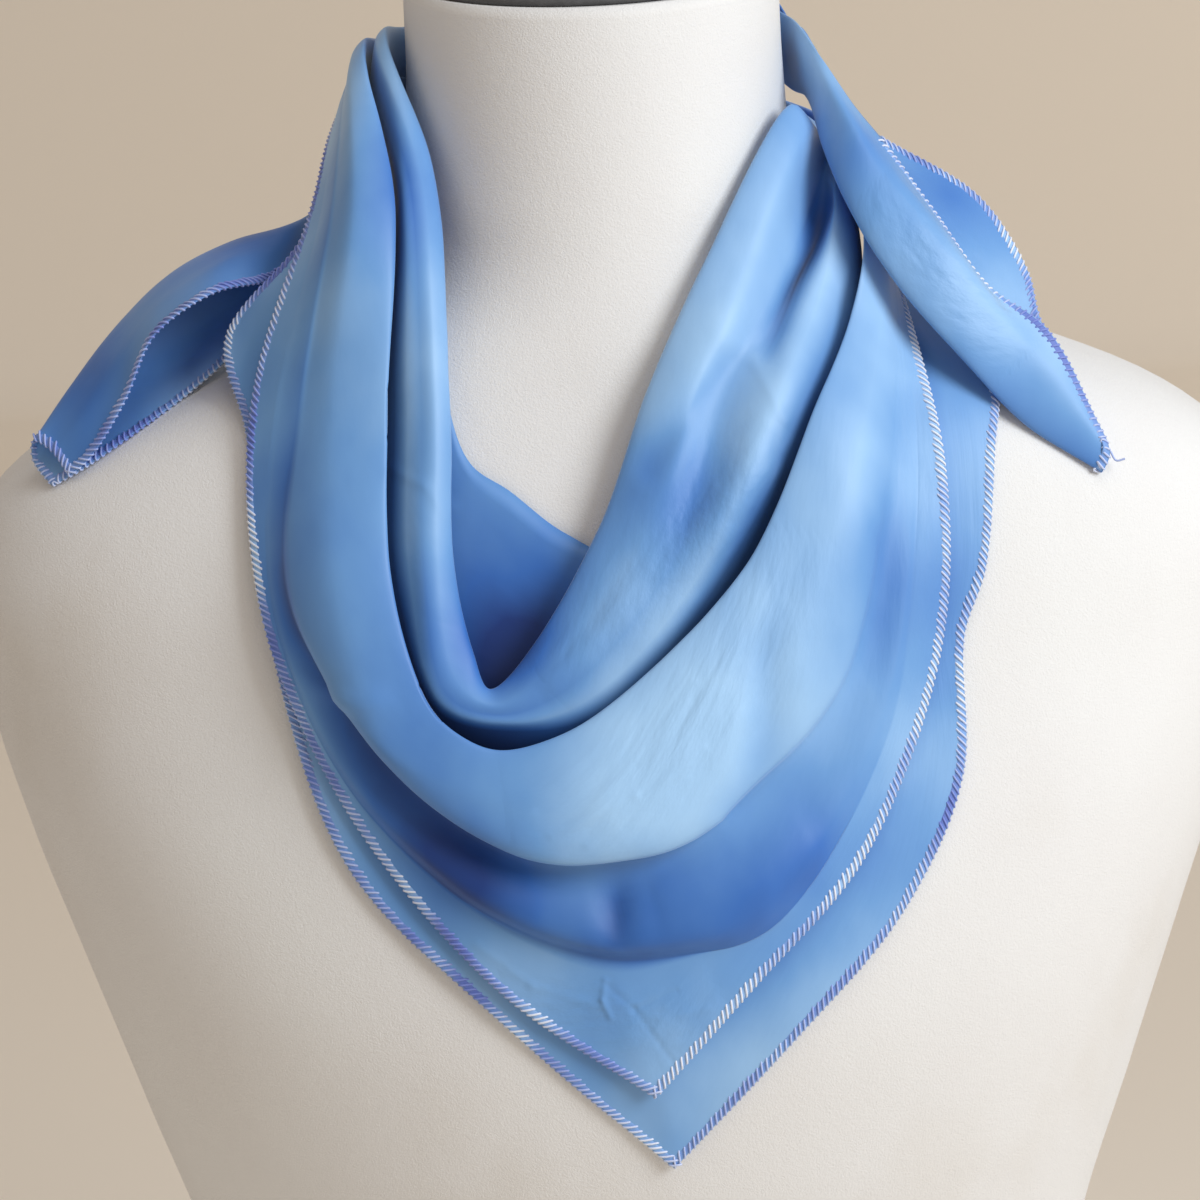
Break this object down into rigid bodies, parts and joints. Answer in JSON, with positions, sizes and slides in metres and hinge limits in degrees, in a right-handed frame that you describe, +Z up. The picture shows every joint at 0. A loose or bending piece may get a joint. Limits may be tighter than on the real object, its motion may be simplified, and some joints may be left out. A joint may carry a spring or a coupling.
{
  "type": "silk square scarf on a limbless dress form",
  "caption": "blue hand-dyed silk square scarf folded to a triangle, knotted behind the neck of a white limbless dress form",
  "frame": {"origin": "middle of the flat base of the dress form, on the surface that it stands on", "axes": "+Z up, +X to the viewer's right seen from the front, the front of the form and the scarf's point face -Y"},
  "size_m": [0.3992, 0.24, 0.6481],
  "materials": {
    "silk": "light silk with a soft satin sheen, cloudy hand-dyed blues from pale sky to deep cobalt, and an overlocked hem in variegated blue-violet thread",
    "form_jersey": "off-white matt jersey over foam, slightly soiled in places",
    "neck_cap": "plain dark grey cap on the neck"
  },
  "bodies": {
    "root": {"dress_form": "form_jersey", "neck_cap": "neck_cap", "throat_fold": "silk", "outer_ply": "silk", "under_ply": "silk", "knot": "silk", "left_tail": "silk", "right_tail": "silk"}
  },
  "joints": []
}
